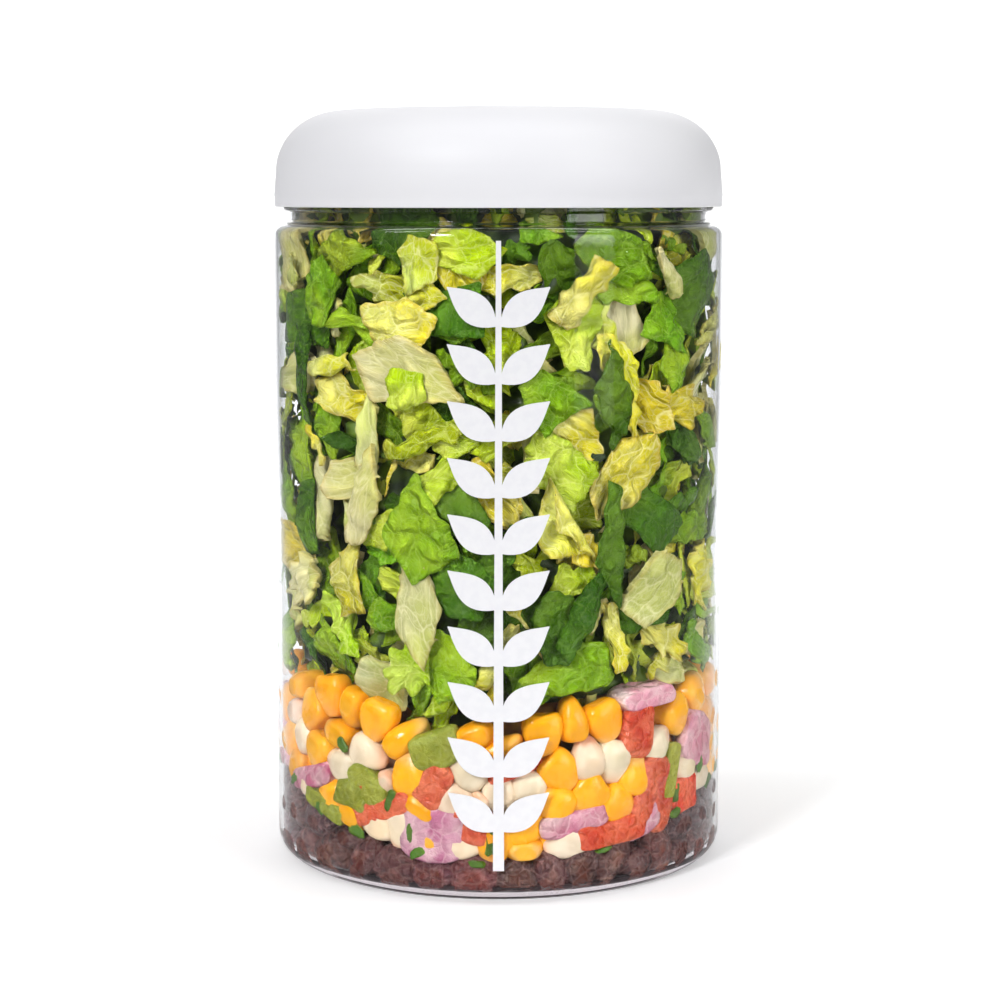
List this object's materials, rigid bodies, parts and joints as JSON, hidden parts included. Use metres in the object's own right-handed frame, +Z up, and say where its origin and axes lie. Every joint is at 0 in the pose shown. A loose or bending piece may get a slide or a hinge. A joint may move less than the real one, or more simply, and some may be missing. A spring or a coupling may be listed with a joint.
{
  "type": "mixed salad",
  "caption": "Chopped mixed salad of greens, corn, tomato, onion and black beans, layered in a clear straight-sided jar under a domed white screw lid.",
  "frame": {"origin": "middle of the jar's foot, on the surface that the jar stands on", "axes": "+Z up along the jar's axis, -Y towards the printed front of the jar, +X to the right of someone who looks at the front"},
  "size_m": [0.095, 0.095, 0.158],
  "materials": {
    "clear_plastic": "clear, colourless, glossy moulded plastic",
    "white_plastic": "white, opaque, satin to glossy moulded plastic",
    "green_leaves": "wet chopped lettuce and spinach leaves, soft gloss",
    "corn_kernels": "moist corn kernels with diced tomato, onion and pepper",
    "bean_skin": "wet, glossy, very dark purple-brown bean skin",
    "white_print": "thin opaque white ink printed on the jar's front"
  },
  "bodies": {
    "root": {"jar": "clear_plastic", "lid": "white_plastic", "greens": "green_leaves", "corn_mix": "corn_kernels", "black_beans": "bean_skin"}
  },
  "joints": []
}
